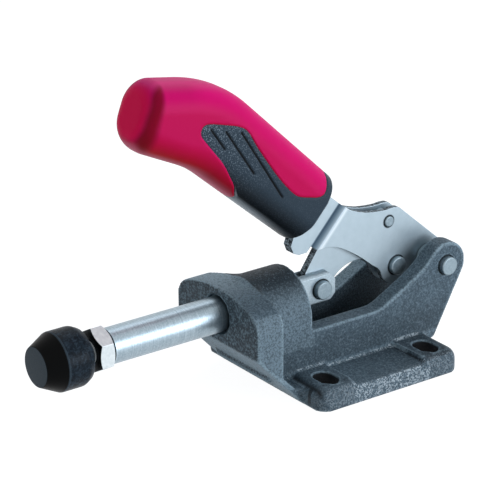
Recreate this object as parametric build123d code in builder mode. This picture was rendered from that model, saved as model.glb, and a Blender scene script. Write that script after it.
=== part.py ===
"""Push-pull toggle clamp on a cast base, in millimetres.

The plunger points along -Y, +X is the clamp's right-hand side seen from behind, +Z is up. The origin is
the middle of the four mounting slots, on the face that rests on the machine table. The clamp is closed:
rod pin, link pin and main pivot lie in one line.
"""
import os
from math import atan2, cos, hypot, radians, sin

from build123d import *

os.makedirs("parts", exist_ok=True)

# ---- driving dimensions ------------------------------------------------------------------------------
ROD_R = 8.0                 # plunger rod, 16 mm ground bar
AXIS_Z = 38.5               # height of the rod's axis above the table
FIT = 0.05                  # radial clearance of every running fit

BASE_X, BASE_Y, BASE_T = 88.0, 78.0, 10.5
BASE_CORNER, BASE_ROUND = 7.0, 5.0
SLOT_DX, SLOT_DY = 64.0, 56.0          # spacing of the four mounting slots
SLOT_W, SLOT_L = 9.0, 13.5
RECESS = 2.0                # floor between the slot pads lies this much lower

FRONT_Y = -63.0             # front face of the collar
COLLAR_X, COLLAR_T = 60.0, 14.0
BODY_R = 19.5               # half width of barrel and cheeks
CHEEK_IN = 10.8             # inner faces of the cheeks
BARREL_END_Y = -25.5
BARREL_Z = AXIS_Z - 6.0     # centre of the barrel's round back

ROD_PIN = (-10.0, AXIS_Z)   # (Y, Z) of the three pivots, clamp closed
PIVOT = (50.0, AXIS_Z + 1.5)
CRANK = 17.4                # main pivot to link pin
PIN_R, RIVET_R = 4.25, 2.5
PIN_BEVEL = 0.4
BOSS_R, HUB_R = 10.8, 9.7    # round ends of a cheek and of a lever plate, about the main pivot
SPACER_R = 6.0              # distance collars on the main pivot

PLATE_T, LINK_T, SIDE_GAP = 2.75, 4.0, 0.3
LEVER_IN = LINK_T / 2 + SIDE_GAP       # inner face of a lever plate
LEVER_OUT = LEVER_IN + PLATE_T

ROD_FRONT_Y, ROD_REAR_Y = -121.3, -2.2
FLAT_X = 5.2                # milled flats on the fork
STUD_R, STUD_IN = 6.0, 24.0 # M12 screw of the pressure pad, and its length inside the rod
NUT_AF, NUT_T = 18.0, 7.5
NUT_GAP = 0.3               # the nut stands this far off the end of the rod
PAD_FRONT_Y, PAD_REAR_Y, PAD_R = -155.4, -131.3, 13.2
PLATE_Y, PLATE_DEEP, PLATE_R = PAD_REAR_Y - 8, 2.5, 10.0     # steel disc inside the pad

# the link pin lies on the straight line between the other two
pin_dy, pin_dz = PIVOT[0] - ROD_PIN[0], PIVOT[1] - ROD_PIN[1]
pin_span = hypot(pin_dy, pin_dz)
LINK_PIN = (PIVOT[0] - CRANK * pin_dy / pin_span, PIVOT[1] - CRANK * pin_dz / pin_span)
LINK_L = pin_span - CRANK
OPEN_DEG = 90.0             # travel of the hand lever


def side(points):
    """(Y, Z) pairs given from the collar's front face and the rod's axis, turned into row positions."""
    return [(y + FRONT_Y, z + AXIS_Z) for y, z in points]


def pin(x0, x1, centre, radius):
    """A plain cylinder across the clamp, from x0 to x1."""
    with BuildPart() as p:
        with BuildSketch(Plane.YZ.offset(x0)):
            with Locations(centre):
                Circle(radius)
        extrude(amount=x1 - x0)
    return p.part


# ---- housing: one iron casting -----------------------------------------------------------------------
with BuildPart() as web:
    # a thick web that leans back under the collar down to the plate's front edge
    with BuildSketch(Plane.YZ.offset(-COLLAR_X / 2)):
        with BuildLine():
            Polyline(*side([(0, -12.5), (0, 16), (COLLAR_T, 16), (COLLAR_T, -24), (21, -31), (34, -31),
                            (34, -AXIS_Z), (24.5, -AXIS_Z)]), close=True)
        make_face()
    extrude(amount=COLLAR_X)
    # the collar's top is a low arch with rounded shoulders
    with BuildSketch(Plane.XZ.offset(-FRONT_Y)):
        with BuildLine():
            Line((-COLLAR_X / 2, 0), (-COLLAR_X / 2, AXIS_Z + 0.5))
            ThreePointArc((-COLLAR_X / 2, AXIS_Z + 0.5), (-27.6, AXIS_Z + 5.7), (-22, AXIS_Z + 8.9))
            ThreePointArc((-22, AXIS_Z + 8.9), (0, AXIS_Z + 12.5), (22, AXIS_Z + 8.9))
            ThreePointArc((22, AXIS_Z + 8.9), (27.6, AXIS_Z + 5.7), (COLLAR_X / 2, AXIS_Z + 0.5))
            Polyline((COLLAR_X / 2, AXIS_Z + 0.5), (COLLAR_X / 2, 0), (-COLLAR_X / 2, 0))
        make_face()
    extrude(amount=-60, mode=Mode.INTERSECT)

with BuildPart() as housing:
    # slotted base plate with a rounded, pillow-like outer edge
    with BuildSketch():
        RectangleRounded(BASE_X, BASE_Y, BASE_CORNER)
    extrude(amount=BASE_T)
    fillet(housing.faces().sort_by(Axis.Z)[-1].edges(), BASE_ROUND)
    # the floor between the front and rear pads is lower, on both sides
    with BuildSketch(Plane.XY.offset(BASE_T - RECESS)):
        with Locations((BASE_X / 2, 0), (-BASE_X / 2, 0)):
            RectangleRounded(50, 39, 4)
    extrude(amount=RECESS + 1, mode=Mode.SUBTRACT)
    # barrel round the rod, with a domed back
    with BuildSketch(Plane.XZ.offset(-FRONT_Y - COLLAR_T + 1)):
        with BuildLine():
            Polyline((-BODY_R, BARREL_Z), (-BODY_R, 9), (BODY_R, 9), (BODY_R, BARREL_Z))
            ThreePointArc((BODY_R, BARREL_Z), (0, BARREL_Z + BODY_R), (-BODY_R, BARREL_Z))
        make_face()
    extrude(amount=-(BARREL_END_Y - FRONT_Y - COLLAR_T + 1))
    add(web.part)
    # the pair of cheeks, cut from one block by the gap for the lever
    with BuildSketch(Plane.YZ.offset(-BODY_R)):
        with BuildLine():
            low = side([(30, -11), (30, -33), (104.5, -33), (105.8, -32)])
            rise = side([(106.9, -32), (122.6, -3.3)])
            top = side([(107.4, 10.2), (101.4, 4.2), (94.2, -0.8), (87, -4.8), (80, -8.4), (71, -11), (30, -11)])
            Polyline(low[0], low[1], low[2], rise[0], rise[1])
            ThreePointArc(rise[1], (PIVOT[0] + BOSS_R * cos(radians(35)), PIVOT[1] + BOSS_R * sin(radians(35))),
                          top[0])
            Spline(*top[:6], tangents=[(-0.75, -0.66), (-1, 0)])
            Line(top[5], top[6])
        make_face()
    extrude(amount=2 * BODY_R)
    with BuildSketch(Plane.XZ.offset(-BARREL_END_Y)):
        with Locations((0, BASE_T + 50)):
            Rectangle(2 * CHEEK_IN, 100)
    extrude(amount=-120, mode=Mode.SUBTRACT)
    # concave blends from the collar back to the narrower body
    blends = (housing.edges()
              .filter_by(lambda e: abs(e.center().Y - FRONT_Y - COLLAR_T) < 0.05 and e.length > 8
                         and 16.8 < abs(e.center().X) < BODY_R + 0.1 and e.center().Z > 15))
    fillet(blends, 5)
    # bore for the rod, wider at its mouth
    with BuildSketch(Plane.XZ.offset(-FRONT_Y)):
        with Locations((0, AXIS_Z)):
            Circle(ROD_R + FIT)
    extrude(amount=-60, mode=Mode.SUBTRACT)
    with BuildSketch(Plane.XZ.offset(-FRONT_Y)):
        with Locations((0, AXIS_Z)):
            Circle(ROD_R + 1.1)
    extrude(amount=-3, mode=Mode.SUBTRACT)
    # main pivot holes and mounting slots
    with BuildSketch(Plane.YZ.offset(-40)):
        with Locations(PIVOT):
            Circle(PIN_R)
    extrude(amount=80, mode=Mode.SUBTRACT)
    with BuildSketch():
        with GridLocations(SLOT_DX, SLOT_DY, 2, 2):
            SlotOverall(SLOT_L, SLOT_W)
    extrude(amount=BASE_T + 5, mode=Mode.SUBTRACT)
housing.part.label = "housing"

# ---- plunger rod: drilled for the pad's screw, forked for the link ------------------------------------
with BuildPart() as push_rod:
    with BuildSketch(Plane.XZ.offset(-ROD_FRONT_Y)):
        with Locations((0, AXIS_Z)):
            Circle(ROD_R)
    extrude(amount=-(ROD_REAR_Y - ROD_FRONT_Y))
    chamfer(push_rod.edges().filter_by(GeomType.CIRCLE).sort_by(Axis.Y)[0], 0.8)
    with BuildSketch(Plane.XZ.offset(-ROD_FRONT_Y)):
        with Locations((0, AXIS_Z)):
            Circle(STUD_R + FIT)
    extrude(amount=-32, mode=Mode.SUBTRACT)
    # slot for the link, milled flats and bevelled corners of the fork
    with BuildSketch(Plane.XY.offset(AXIS_Z)):
        with Locations((0, ROD_REAR_Y)):
            Rectangle(LINK_T + 0.6, 2 * 21.5)
            with Locations((FLAT_X + 5, 0), (-FLAT_X - 5, 0)):
                Rectangle(10, 2 * 20.5)
    extrude(amount=12, both=True, mode=Mode.SUBTRACT)
    with BuildSketch(Plane.YZ):
        with BuildLine():
            Polyline((ROD_REAR_Y - 5.5, AXIS_Z + 9), (ROD_REAR_Y + 2, AXIS_Z + 9), (ROD_REAR_Y + 2, AXIS_Z + 1.5),
                     close=True)
        make_face()
        with BuildLine():
            Polyline((ROD_REAR_Y - 5.5, AXIS_Z - 9), (ROD_REAR_Y + 2, AXIS_Z - 9), (ROD_REAR_Y + 2, AXIS_Z - 1.5),
                     close=True)
        make_face()
    extrude(amount=12, both=True, mode=Mode.SUBTRACT)
    with BuildSketch(Plane.YZ.offset(-12)):
        with Locations(ROD_PIN):
            Circle(PIN_R)
    extrude(amount=24, mode=Mode.SUBTRACT)
push_rod.part.label = "push_rod"


# ---- pins ----------------------------------------------------------------------------------------------
with BuildPart() as rod_pin:
    add(pin(-8.0, 8.0, ROD_PIN, PIN_R))
    chamfer(rod_pin.edges().filter_by(GeomType.CIRCLE), PIN_BEVEL)
rod_pin.part.label = "rod_pin"

with BuildPart() as link_pin:
    add(pin(-LEVER_OUT - 2.3, LEVER_OUT + 2.3, LINK_PIN, PIN_R))
    chamfer(link_pin.edges().filter_by(GeomType.CIRCLE), PIN_BEVEL)
link_pin.part.label = "link_pin"

with BuildPart() as pivot_pin:
    add(pin(-BODY_R - 2.7, BODY_R + 2.7, PIVOT, PIN_R))
    chamfer(pivot_pin.edges().filter_by(GeomType.CIRCLE), PIN_BEVEL)
pivot_pin.part.label = "pivot_pin"


def side_collar(x0, x1):
    """A distance collar on the main pivot, between a lever plate and a cheek."""
    with BuildPart() as p:
        with BuildSketch(Plane.YZ.offset(x0)):
            with Locations(PIVOT):
                Circle(SPACER_R)
                Circle(PIN_R, mode=Mode.SUBTRACT)
        extrude(amount=x1 - x0)
    return p.part


with BuildPart() as side_collar_right:
    add(side_collar(LEVER_OUT + SIDE_GAP, CHEEK_IN))
side_collar_right.part.label = "side_collar_right"

with BuildPart() as side_collar_left:
    add(side_collar(-CHEEK_IN, -LEVER_OUT - SIDE_GAP))
side_collar_left.part.label = "side_collar_left"

# ---- link: one crescent-shaped plate that arches over the main pivot when the clamp is open -------------
slot_path = []              # where the link pin goes in the link while the coupled joints turn evenly
open_angle, rest_tilt = radians(OPEN_DEG), atan2(pin_dz, pin_dy)
end_pin = (PIVOT[0] - CRANK * cos(rest_tilt - open_angle), PIVOT[1] - CRANK * sin(rest_tilt - open_angle))
end_tilt = atan2(end_pin[1] - ROD_PIN[1], (LINK_L ** 2 - (end_pin[1] - ROD_PIN[1]) ** 2) ** 0.5)
STROKE = end_pin[0] - LINK_L * cos(end_tilt) - ROD_PIN[0]
LINK_SWING = end_tilt - rest_tilt
for i in range(10):
    t = i / 9
    at = (PIVOT[0] - CRANK * cos(rest_tilt - open_angle * t), PIVOT[1] - CRANK * sin(rest_tilt - open_angle * t))
    v = (at[0] - ROD_PIN[0] - STROKE * t, at[1] - ROD_PIN[1])
    turn = LINK_SWING * t
    slot_path.append((ROD_PIN[0] + v[0] * cos(turn) + v[1] * sin(turn),
                      ROD_PIN[1] - v[0] * sin(turn) + v[1] * cos(turn)))

with BuildPart() as link_plate:
    with BuildSketch(Plane.YZ.offset(-LINK_T / 2)):
        with BuildLine():
            front, nose, back, tail = side([(46.6, 8.2), (54.2, 19.2), (60, 22.4), (99, 9.5)])
            Polyline((ROD_PIN[0] - 6.2, ROD_PIN[1] - 4.6), (ROD_PIN[0] - 7.7, ROD_PIN[1] + 1), front, nose)
            hump = TangentArc(nose, back, tangent=(nose[0] - front[0], nose[1] - front[1]))
            crest = TangentArc(back, tail, tangent=hump % 1)
            TangentArc(tail, (LINK_PIN[0] + 7.1, LINK_PIN[1] + 1.2), tangent=crest % 1)
            ThreePointArc((LINK_PIN[0] + 7.1, LINK_PIN[1] + 1.2), (LINK_PIN[0] + 2.4, LINK_PIN[1] - 6.8),
                          (LINK_PIN[0] - 6.5, LINK_PIN[1] - 3))
            ThreePointArc((LINK_PIN[0] - 6.5, LINK_PIN[1] - 3), (PIVOT[0] - 37.5, AXIS_Z + 7.3),
                          (ROD_PIN[0] + 7.0, ROD_PIN[1] - 1.6))
            ThreePointArc((ROD_PIN[0] + 7.0, ROD_PIN[1] - 1.6), (ROD_PIN[0] + 0.5, ROD_PIN[1] - 7.7),
                          (ROD_PIN[0] - 6.2, ROD_PIN[1] - 4.6))
        make_face()
        with Locations(ROD_PIN):
            Circle(PIN_R + FIT, mode=Mode.SUBTRACT)
        with Locations(*slot_path):
            Circle(PIN_R + 0.3, mode=Mode.SUBTRACT)
    extrude(amount=LINK_T)
link_plate.part.label = "link_plate"

# ---- hand lever: two joggled plates that lie together at the tang ---------------------------------------
JOGGLE = side([(51.0, 18.9), (66.3, 35.6)])      # bend line on the wide side
JOGGLE_W = 2.6
JOGGLE_L = hypot(JOGGLE[1][0] - JOGGLE[0][0], JOGGLE[1][1] - JOGGLE[0][1])
along_y, along_z = (JOGGLE[1][0] - JOGGLE[0][0]) / JOGGLE_L, (JOGGLE[1][1] - JOGGLE[0][1]) / JOGGLE_L
RIVET = side([(90.9, 23.2)])[0]


def from_bend(point, up, forward=0.0):
    """The place `up` the tang from a point, and `forward` along the bend line."""
    return (point[0] - along_z * up + along_y * forward, point[1] + along_y * up + along_z * forward)


bend_mid = ((JOGGLE[0][0] + JOGGLE[1][0]) / 2, (JOGGLE[0][1] + JOGGLE[1][1]) / 2)
TANG_RIVETS = [from_bend(bend_mid, 32, 2), from_bend(bend_mid, 70, 2)]
tang_low, tang_high = from_bend(JOGGLE[0], JOGGLE_W), from_bend(JOGGLE[1], JOGGLE_W)
NECK_LOW, NECK_HIGH = from_bend(tang_low, 12, 6.5), from_bend(tang_high, 8, -0.2)
TIP_LOW, TIP_HIGH = from_bend(NECK_LOW, 74), from_bend(NECK_HIGH, 78)
HEEL = side([(46.7, 18.1), (42.4, 18.0), (39.4, 19.4), (38.0, 23.0), (40.5, 29.5)])
TANG = [tang_low, *HEEL, NECK_LOW, TIP_LOW, TIP_HIGH, NECK_HIGH, tang_high]


def lever_plate(sign):
    """One lever plate; sign +1 is the right-hand one."""
    with BuildPart() as p:
        with BuildSketch(Plane.YZ.offset(min(sign * LEVER_IN, sign * LEVER_OUT))):
            with BuildLine():
                crest = side([(68.4, 34.2), (72.6, 32.1), (79.1, 30.1), (85.6, 29.2), (90, 29.0), (94.8, 29.1),
                              (98.1, 27.5)])
                hub_top = (PIVOT[0] + HUB_R * 0.66, PIVOT[1] + HUB_R * 0.75)
                hub_low = (PIVOT[0] - HUB_R * 0.1, PIVOT[1] - HUB_R * 0.995)
                eye_low = (LINK_PIN[0] - 1, LINK_PIN[1] - 8.95)
                eye_left = (LINK_PIN[0] - 8.9, LINK_PIN[1] - 1.5)
                Line(JOGGLE[1], crest[0])
                Spline(*crest[:6], tangents=[(0.75, -0.55), (1, -0.15)])
                ThreePointArc(crest[5], (crest[5][0] + 1.9, crest[5][1] - 0.5), crest[6])
                Line(crest[6], hub_top)
                ThreePointArc(hub_top, (PIVOT[0] + HUB_R * 0.75, PIVOT[1] - HUB_R * 0.66), hub_low)
                Line(hub_low, eye_low)
                ThreePointArc(eye_low, (LINK_PIN[0] - 6.9, LINK_PIN[1] - 5.8), eye_left)
                Spline(eye_left, *side([(82.2, 3.9), (78.1, 7.3), (74.1, 10.4), (66.1, 15.6), (60.2, 18.2),
                                        (56.3, 18.9)]), JOGGLE[0],
                       tangents=[(-0.35, 0.94), (-1, 0)])
                Line(JOGGLE[0], JOGGLE[1])
            make_face()
            with Locations(LINK_PIN):
                Circle(PIN_R, mode=Mode.SUBTRACT)
            with Locations(PIVOT):
                Circle(PIN_R + FIT, mode=Mode.SUBTRACT)
            with Locations(RIVET):
                Circle(RIVET_R, mode=Mode.SUBTRACT)
        extrude(amount=PLATE_T)
        # the slanting web of the joggle, a prism along the bend line
        along = Plane(origin=(0, *JOGGLE[0]), x_dir=(1, 0, 0), z_dir=(0, along_y, along_z))
        with BuildSketch(along):
            with BuildLine():
                Polyline((sign * LEVER_IN, 0), (sign * LEVER_OUT, 0), (sign * PLATE_T, -JOGGLE_W),
                         (0, -JOGGLE_W), close=True)
            make_face()
        extrude(amount=JOGGLE_L)
        # the tang, narrower where the grip holds it
        with BuildSketch(Plane.YZ.offset(min(0, sign * PLATE_T))):
            with BuildLine():
                Polyline(*TANG, close=True)
            make_face()
            with Locations(*TANG_RIVETS):
                Circle(RIVET_R, mode=Mode.SUBTRACT)
        extrude(amount=PLATE_T)
    return p.part


with BuildPart() as lever_plate_right:
    add(lever_plate(1))
lever_plate_right.part.label = "lever_plate_right"

with BuildPart() as lever_plate_left:
    add(lever_plate(-1))
lever_plate_left.part.label = "lever_plate_left"

# ---- rivets --------------------------------------------------------------------------------------------
with BuildPart() as lever_rivet:
    add(pin(-LEVER_OUT - 0.9, LEVER_OUT + 0.9, RIVET, RIVET_R))
    chamfer(lever_rivet.edges().filter_by(GeomType.CIRCLE), PIN_BEVEL)
lever_rivet.part.label = "lever_rivet"

with BuildPart() as rivet_sleeve:
    with BuildSketch(Plane.YZ.offset(-LEVER_IN)):
        with Locations(RIVET):
            Circle(4.2)
            Circle(RIVET_R, mode=Mode.SUBTRACT)
    extrude(amount=2 * LEVER_IN)
rivet_sleeve.part.label = "rivet_sleeve"

with BuildPart() as tang_rivets:
    for spot in TANG_RIVETS:
        add(pin(-PLATE_T, PLATE_T, spot, RIVET_R))
tang_rivets.part.label = "tang_rivets"

# ---- hand grip: black core moulded on the tang, red shell over it ---------------------------------------
GRIP_W, GRIP_EDGE = 27.0, 12.3                   # width, and rounding of the four long edges
TIP_ROUND, MOUTH_BEVEL = 7.0, 3.2
BEND_TOP, BEND_LOW = 65.0, 60.0                  # radii of the bend in the upper and lower ridge
GRIP = side([(59.9, 50.5), (0.2, 107.9), (-37.1, 114.6), (-48.0, 87.2), (-15.8, 71.7), (37.6, 25.9)])
with BuildPart() as grip:
    with BuildSketch(Plane.YZ.offset(-GRIP_W / 2)) as profile:
        with BuildLine():
            Polyline(*GRIP, close=True)
        make_face()
        fillet(profile.vertices().sort_by_distance(GRIP[1])[0], BEND_TOP)
        fillet(profile.vertices().sort_by_distance(GRIP[4])[0], BEND_LOW)
    extrude(amount=GRIP_W)
    across = grip.faces().sort_by(Axis.Y)
    ends = across[0].edges() + across[-1].edges()
    long_edges = grip.edges().filter_by(lambda e: abs(abs(e.center().X) - GRIP_W / 2) < 0.01)
    fillet([edge for edge in long_edges if edge not in ends], GRIP_EDGE)
    fillet(grip.faces().sort_by(Axis.Y)[0].edges(), TIP_ROUND)
    chamfer(grip.faces().sort_by(Axis.Y)[-1].edges(), MOUTH_BEVEL)
    # pocket that the tang fills
    with BuildSketch(Plane.YZ.offset(-PLATE_T)):
        with BuildLine():
            Polyline(*TANG, close=True)
        make_face()
    extrude(amount=2 * PLATE_T, mode=Mode.SUBTRACT)

# outline of the black part seen from the side, from the top ridge round the tongue to the bottom ridge
BLACK = [(54.5, 55.6), (51.5, 52.3), (46.5, 48.2), (42.4, 47.6), (34.1, 49.6), (30.8, 51.2), (24.3, 60.8),
         (16.2, 72.3), (10.6, 81.1), (6.7, 87.0), (2.5, 89.4), (-4.3, 91.5), (-11.4, 93.4), (-15.3, 93.0),
         (-16.4, 90.2), (-14.4, 86.3), (-9.4, 79.9), (-4.5, 73.5), (-0.6, 66.8), (2.4, 61.5), (4.2, 57.2),
         (5.8, 54.6), (4.8, 53.0), (-3, 51.5), (30, 20), (60, 20), (75, 45), (62, 63)]
with BuildPart() as black_zone:
    with BuildSketch(Plane.YZ.offset(-30)):
        with BuildLine():
            Polyline(*side(BLACK), close=True)
        make_face()
    extrude(amount=60)

with BuildPart() as grip_core:
    add(grip.part)
    add(black_zone.part, mode=Mode.INTERSECT)
grip_core.part.label = "grip_core"

with BuildPart() as grip_shell:
    add(grip.part)
    add(black_zone.part, mode=Mode.SUBTRACT)
grip_shell.part.label = "grip_shell"

# ---- pressure pad on its screw ---------------------------------------------------------------------------
def turned(front_y, length, radius):
    """A round bar along the rod's axis."""
    with BuildPart() as p:
        with BuildSketch(Plane.XZ.offset(-front_y)):
            with Locations((0, AXIS_Z)):
                Circle(radius)
        extrude(amount=-length)
    return p.part


with BuildPart() as pad_stud:
    add(turned(PLATE_Y, ROD_FRONT_Y - PLATE_Y + STUD_IN, STUD_R))
pad_stud.part.label = "pad_stud"

with BuildPart() as pad_plate:
    add(turned(PLATE_Y, PLATE_DEEP, PLATE_R))
    add(turned(PLATE_Y, PLATE_DEEP, STUD_R), mode=Mode.SUBTRACT)
pad_plate.part.label = "pad_plate"

with BuildPart() as thrust_pad:
    with BuildSketch(Plane.YZ):
        with BuildLine():
            Polyline((PAD_FRONT_Y, AXIS_Z), (PAD_FRONT_Y, AXIS_Z + 8.9), (PAD_FRONT_Y + 8.7, AXIS_Z + PAD_R),
                     (PAD_REAR_Y - 6.3, AXIS_Z + PAD_R), (PAD_REAR_Y - 2.9, AXIS_Z + 11.8),
                     (PAD_REAR_Y - 1.5, AXIS_Z + 8.4), (PAD_REAR_Y, AXIS_Z + 8.4), (PAD_REAR_Y, AXIS_Z), close=True)
        make_face()
    revolve(axis=Axis((0, 0, AXIS_Z), (0, 1, 0)))
    add(pad_stud.part, mode=Mode.SUBTRACT)
    add(pad_plate.part, mode=Mode.SUBTRACT)
thrust_pad.part.label = "thrust_pad"

NUT_Y0, NUT_Y1 = ROD_FRONT_Y - NUT_GAP - NUT_T, ROD_FRONT_Y - NUT_GAP
with BuildPart() as lock_nut:
    with BuildSketch(Plane.XZ.offset(-NUT_Y0)):
        with Locations((0, AXIS_Z)):
            RegularPolygon(NUT_AF / 2, 6, major_radius=False, rotation=30)
    extrude(amount=-NUT_T)
    # both faces are turned to a cone that trims the corners
    with BuildSketch(Plane.YZ):
        with BuildLine():
            Polyline((NUT_Y0, AXIS_Z), (NUT_Y0, AXIS_Z + 8.7), (NUT_Y0 + 1.1, AXIS_Z + 10.6),
                     (NUT_Y1 - 1.1, AXIS_Z + 10.6), (NUT_Y1, AXIS_Z + 8.7), (NUT_Y1, AXIS_Z), close=True)
        make_face()
    revolve(axis=Axis((0, 0, AXIS_Z), (0, 1, 0)), mode=Mode.INTERSECT)
    add(turned(NUT_Y0, NUT_T, STUD_R + FIT), mode=Mode.SUBTRACT)
lock_nut.part.label = "lock_nut"

# ---- files -----------------------------------------------------------------------------------------------
export_step(housing.part, "parts/housing.step")
export_step(push_rod.part, "parts/push_rod.step")
export_step(rod_pin.part, "parts/rod_pin.step")
export_step(link_pin.part, "parts/link_pin.step")
export_step(pivot_pin.part, "parts/pivot_pin.step")
export_step(side_collar_right.part, "parts/side_collar_right.step")
export_step(side_collar_left.part, "parts/side_collar_left.step")
export_step(link_plate.part, "parts/link_plate.step")
export_step(lever_plate_right.part, "parts/lever_plate_right.step")
export_step(lever_plate_left.part, "parts/lever_plate_left.step")
export_step(lever_rivet.part, "parts/lever_rivet.step")
export_step(rivet_sleeve.part, "parts/rivet_sleeve.step")
export_step(tang_rivets.part, "parts/tang_rivets.step")
export_step(grip_core.part, "parts/grip_core.step")
export_step(grip_shell.part, "parts/grip_shell.step")
export_step(pad_stud.part, "parts/pad_stud.step")
export_step(pad_plate.part, "parts/pad_plate.step")
export_step(thrust_pad.part, "parts/thrust_pad.step")
export_step(lock_nut.part, "parts/lock_nut.step")
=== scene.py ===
"""Looks of a push-pull toggle clamp: a painted iron base, a ground plunger, a zinc-plated linkage, a two-shot
grip and a rubber pressure pad. Sizes are in metres; the plunger points along -Y and +Z is up."""
from math import cos, pi, radians, sin

import bmesh
import bpy
import numpy as np
from mathutils import Matrix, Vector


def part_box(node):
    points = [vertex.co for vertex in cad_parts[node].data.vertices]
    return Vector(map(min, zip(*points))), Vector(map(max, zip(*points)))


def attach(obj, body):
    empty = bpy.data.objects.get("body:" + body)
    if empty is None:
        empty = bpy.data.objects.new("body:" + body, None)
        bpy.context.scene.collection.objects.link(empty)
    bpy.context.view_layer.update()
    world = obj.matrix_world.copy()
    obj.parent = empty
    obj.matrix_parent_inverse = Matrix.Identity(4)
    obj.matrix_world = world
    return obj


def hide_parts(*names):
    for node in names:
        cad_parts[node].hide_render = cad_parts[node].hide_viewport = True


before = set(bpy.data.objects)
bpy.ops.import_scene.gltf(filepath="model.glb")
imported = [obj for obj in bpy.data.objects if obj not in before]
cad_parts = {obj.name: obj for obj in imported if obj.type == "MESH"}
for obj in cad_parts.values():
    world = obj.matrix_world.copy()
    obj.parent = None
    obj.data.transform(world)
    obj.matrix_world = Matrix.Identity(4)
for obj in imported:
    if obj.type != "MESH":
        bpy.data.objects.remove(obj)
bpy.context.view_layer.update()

# ---- camera and room ---------------------------------------------------------------------------------------
# A long lens looks down on the plunger side of the clamp. The clamp stands on a white sweep, which the camera
# and the metal see as plain white. Large soft panels light it from the right, from in front and from above.
FOCAL_PX, IMAGE_PX = 2775.9, 490
SENSOR_MM = 36.0
CAMERA_AT = np.array([0.90002, -0.70043, 0.51899])
forward = np.array([-0.75004, 0.54386, -0.37657])
right = np.array([0.58706, 0.80954, 0.0])
up = np.cross(right, forward)
roll = radians(-0.347)
camera_data = bpy.data.cameras.new("camera")
camera_data.sensor_width, camera_data.lens = SENSOR_MM, FOCAL_PX * SENSOR_MM / IMAGE_PX
camera_data.clip_start, camera_data.clip_end = 0.05, 20.0
camera = bpy.data.objects.new("camera", camera_data)
bpy.context.scene.collection.objects.link(camera)
across, upright = right * cos(roll) + up * sin(roll), up * cos(roll) - right * sin(roll)
columns = np.stack([across, upright, -forward, CAMERA_AT], axis=1)
camera.matrix_world = Matrix([[float(v) for v in row] for row in columns] + [[0.0, 0.0, 0.0, 1.0]])
bpy.context.scene.camera = camera
bpy.context.scene.view_settings.view_transform = "Standard"


def linear(code):
    """An sRGB hex colour as linear red, green, blue and alpha."""
    values = np.array([int(code[i:i + 2], 16) for i in (0, 2, 4)]) / 255
    values = np.where(values <= 0.04045, values / 12.92, ((values + 0.055) / 1.055) ** 2.4)
    return (*(float(v) for v in values), 1.0)


def add(tree, kind, links=None, **settings):
    """Adds a node; links gives each input a value or the output that feeds it."""
    made = tree.nodes.new(kind)
    for key, value in settings.items():
        setattr(made, key, value)
    for key, value in (links or {}).items():
        if isinstance(value, bpy.types.NodeSocket):
            tree.links.new(value, made.inputs[key])
        else:
            made.inputs[key].default_value = value
    return made


CLAMP_MIDDLE = 0.06                     # height that the lamps face


def lamp(name, where, size, power, colour):
    """A square soft panel at a place, facing the clamp's middle: its Z points straight away from there."""
    data = bpy.data.lights.new(name, "AREA")
    data.size, data.energy, data.color = size, power, linear(colour)[:3]
    panel = bpy.data.objects.new(name, data)
    away = np.array(where) - np.array([0, 0, CLAMP_MIDDLE])
    away /= np.linalg.norm(away)
    level = np.cross((0, 0, 1), away)
    level /= np.linalg.norm(level)
    turn = np.stack([level, np.cross(away, level), away], axis=1)
    panel.matrix_world = Matrix.Translation(where) @ Matrix([[*map(float, row)] for row in turn]).to_4x4()
    bpy.context.scene.collection.objects.link(panel)


lamp("right_panel", (0.95, 0.45, 0.22), 0.6, 7.8, "F4F8FF")
lamp("front_panel", (0.25, -1.0, 0.55), 0.7, 1.2, "FFF9F4")
lamp("top_panel", (-0.2, 0.5, 1.0), 0.8, 2.5, "F6F9FF")

# the room gives a faint cool light, and is plain white to the camera, to metal and through glass
world = bpy.data.worlds.new("white_room")
bpy.context.scene.world = world
world.use_nodes = True
tree = world.node_tree
tree.nodes.clear()
path = add(tree, "ShaderNodeLightPath")
seen = add(tree, "ShaderNodeMath", {0: path.outputs["Is Camera Ray"], 1: path.outputs["Is Transmission Ray"]},
           operation="MAXIMUM")
seen = add(tree, "ShaderNodeMath",
           {0: seen.outputs[0], 1: path.outputs["Is Glossy Ray"]}, operation="MAXIMUM")
room = add(tree, "ShaderNodeBackground", {"Color": linear("DCE6F0"), "Strength": 0.3})
white = add(tree, "ShaderNodeBackground", {"Color": (1, 1, 1, 1), "Strength": 1.0})
mixed = add(tree, "ShaderNodeMixShader", {0: seen.outputs[0], 1: room.outputs[0], 2: white.outputs[0]})
add(tree, "ShaderNodeOutputWorld", {"Surface": mixed.outputs[0]})

# the sweep keeps a light shadow under its white, and is plain matt white to every other ray
sweep_paint = bpy.data.materials.new("white_sweep")
sweep_paint.use_nodes = True
tree = sweep_paint.node_tree
tree.nodes.clear()
path = add(tree, "ShaderNodeLightPath")
matt = add(tree, "ShaderNodeBsdfDiffuse", {"Color": (0.30, 0.31, 0.32, 1)})
glow = add(tree, "ShaderNodeEmission", {"Color": (1, 1, 1, 1), "Strength": 0.94})
seen = add(tree, "ShaderNodeAddShader", {0: matt.outputs[0], 1: glow.outputs[0]})
plain = add(tree, "ShaderNodeBsdfDiffuse", {"Color": (0.75, 0.76, 0.78, 1)})
viewed = add(tree, "ShaderNodeMath", {0: path.outputs["Is Camera Ray"], 1: path.outputs["Is Glossy Ray"]},
             operation="MAXIMUM")
mixed = add(tree, "ShaderNodeMixShader", {0: viewed.outputs[0], 1: plain.outputs[0], 2: seen.outputs[0]})
add(tree, "ShaderNodeOutputMaterial", {"Surface": mixed.outputs[0]})
REACH = 4.0
sweep_mesh = bpy.data.meshes.new("sweep")
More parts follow.
